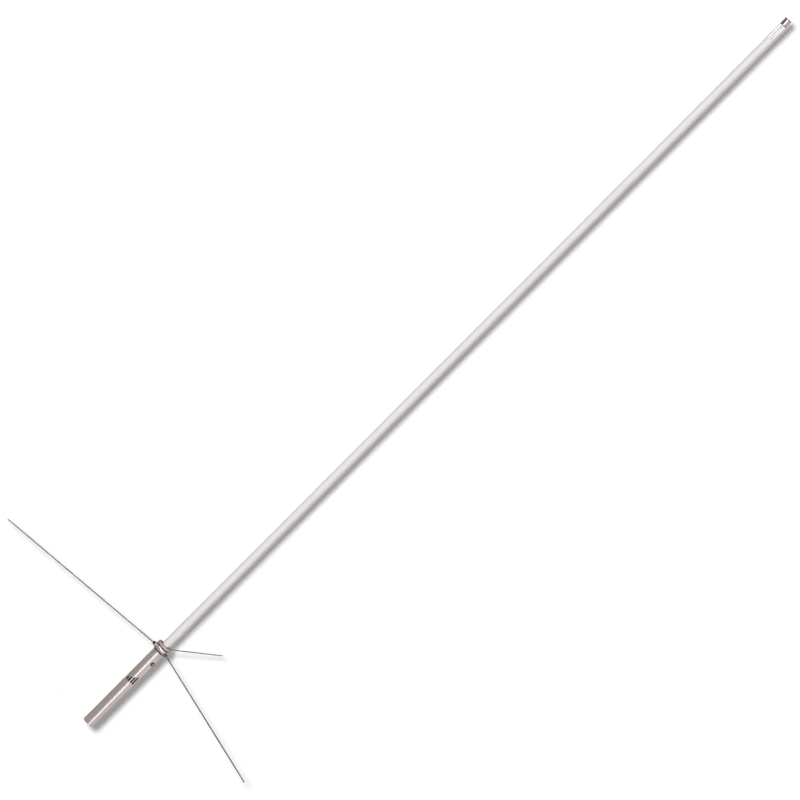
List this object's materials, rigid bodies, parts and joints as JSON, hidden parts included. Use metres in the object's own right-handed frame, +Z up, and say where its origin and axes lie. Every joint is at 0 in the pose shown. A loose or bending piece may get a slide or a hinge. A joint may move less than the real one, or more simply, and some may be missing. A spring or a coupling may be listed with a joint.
{
  "type": "omnidirectional antenna",
  "caption": "Vertical fibreglass base-station antenna with a plated hub, drooping ground-plane radials and a support pipe for mast clamps.",
  "frame": {"origin": "centre of the support pipe's lower end, on the antenna's axis", "axes": "+Z up along the antenna's axis, from the support pipe to the top cap; +X and +Y across it, with the ground-plane radials at 76, 196 and 316 degrees from +X"},
  "size_m": [0.885, 0.8769, 2.53],
  "materials": {
    "satin_steel": "satin",
    "stainless_steel": "satin",
    "chrome_plate": "polished",
    "nickel_plate": "satin",
    "brass": "satin",
    "copper": "satin",
    "radome_fibreglass": "satin",
    "gloss_sleeve": "gloss",
    "white_insulator": "matte",
    "ceramic": "satin",
    "black_rubber": "matte",
    "white_foam": "matte"
  },
  "bodies": {
    "support": {"support_pipe": "satin_steel", "clinch_nut": "stainless_steel"},
    "screw_washer": {"screw_washer": "black_rubber"},
    "lock_screw": {"lock_screw": "stainless_steel"},
    "antenna": {"hub": "chrome_plate", "radome_seal": "black_rubber", "radome": "radome_fibreglass", "tip_sleeve": "gloss_sleeve", "cap_gasket": "black_rubber", "top_cap": "chrome_plate", "coax_connector": "nickel_plate", "connector_washer": "stainless_steel", "connector_insulator": "white_insulator", "connector_contact": "brass", "feed_bush": "white_insulator", "feed_rod": "brass", "matching_former": "white_insulator", "matching_coil": "copper", "matching_capacitor": "ceramic", "radiator_1": "brass", "phasing_former_1": "white_insulator", "phasing_coil_1": "copper", "radiator_2": "brass", "phasing_former_2": "white_insulator", "phasing_coil_2": "copper", "radiator_3": "brass", "phasing_former_3": "white_insulator", "phasing_coil_3": "copper", "radiator_4": "brass", "foam_spacer_1": "white_foam", "foam_spacer_2": "white_foam", "foam_spacer_3": "white_foam", "foam_spacer_4": "white_foam", "foam_spacer_5": "white_foam", "foam_spacer_6": "white_foam"},
    "radial_1_washer": {"radial_washer_1": "stainless_steel"},
    "radial_1": {"radial_rod_1": "stainless_steel", "radial_nut_1": "stainless_steel"},
    "radial_2_washer": {"radial_washer_2": "stainless_steel"},
    "radial_2": {"radial_rod_2": "stainless_steel", "radial_nut_2": "stainless_steel"},
    "radial_3_washer": {"radial_washer_3": "stainless_steel"},
    "radial_3": {"radial_rod_3": "stainless_steel", "radial_nut_3": "stainless_steel"}
  },
  "joints": [
    {"name": "antenna_lift", "type": "slide", "parent": "support", "child": "antenna", "axis": [0, 0, 1], "range_m": [0, 0.095]},
    {"name": "lock_screw_draw", "type": "slide", "parent": "support", "child": "screw_washer", "axis": [0.7193, -0.6947, 0], "range_m": [0, 0.004]},
    {"name": "lock_screw_turn", "type": "hinge", "parent": "screw_washer", "child": "lock_screw", "pos_m": [0, 0, 0.229], "axis": [0.7193, -0.6947, 0], "range_deg": [0, 1440]},
    {"name": "radial_1_draw", "type": "slide", "parent": "antenna", "child": "radial_1_washer", "axis": [-0.9611, -0.2756, -0.0201], "range_m": [0, 0.012]},
    {"name": "radial_1_turn", "type": "hinge", "parent": "radial_1_washer", "child": "radial_1", "pos_m": [0, 0, 0.272], "axis": [-0.9611, -0.2756, -0.0201], "range_deg": [0, 5400]},
    {"name": "radial_2_draw", "type": "slide", "parent": "antenna", "child": "radial_2_washer", "axis": [0.7192, -0.6945, -0.0201], "range_m": [0, 0.012]},
    {"name": "radial_2_turn", "type": "hinge", "parent": "radial_2_washer", "child": "radial_2", "pos_m": [0, 0, 0.272], "axis": [0.7192, -0.6945, -0.0201], "range_deg": [0, 5400]},
    {"name": "radial_3_draw", "type": "slide", "parent": "antenna", "child": "radial_3_washer", "axis": [0.2419, 0.9701, -0.0201], "range_m": [0, 0.012]},
    {"name": "radial_3_turn", "type": "hinge", "parent": "radial_3_washer", "child": "radial_3", "pos_m": [0, 0, 0.272], "axis": [0.2419, 0.9701, -0.0201], "range_deg": [0, 5400]}
  ],
  "couplings": [
    {"joint": "lock_screw_turn", "follows": "lock_screw_draw", "rad_per_m": 6283.2},
    {"joint": "radial_1_turn", "follows": "radial_1_draw", "rad_per_m": 7854},
    {"joint": "radial_2_turn", "follows": "radial_2_draw", "rad_per_m": 7854},
    {"joint": "radial_3_turn", "follows": "radial_3_draw", "rad_per_m": 7854}
  ]
}
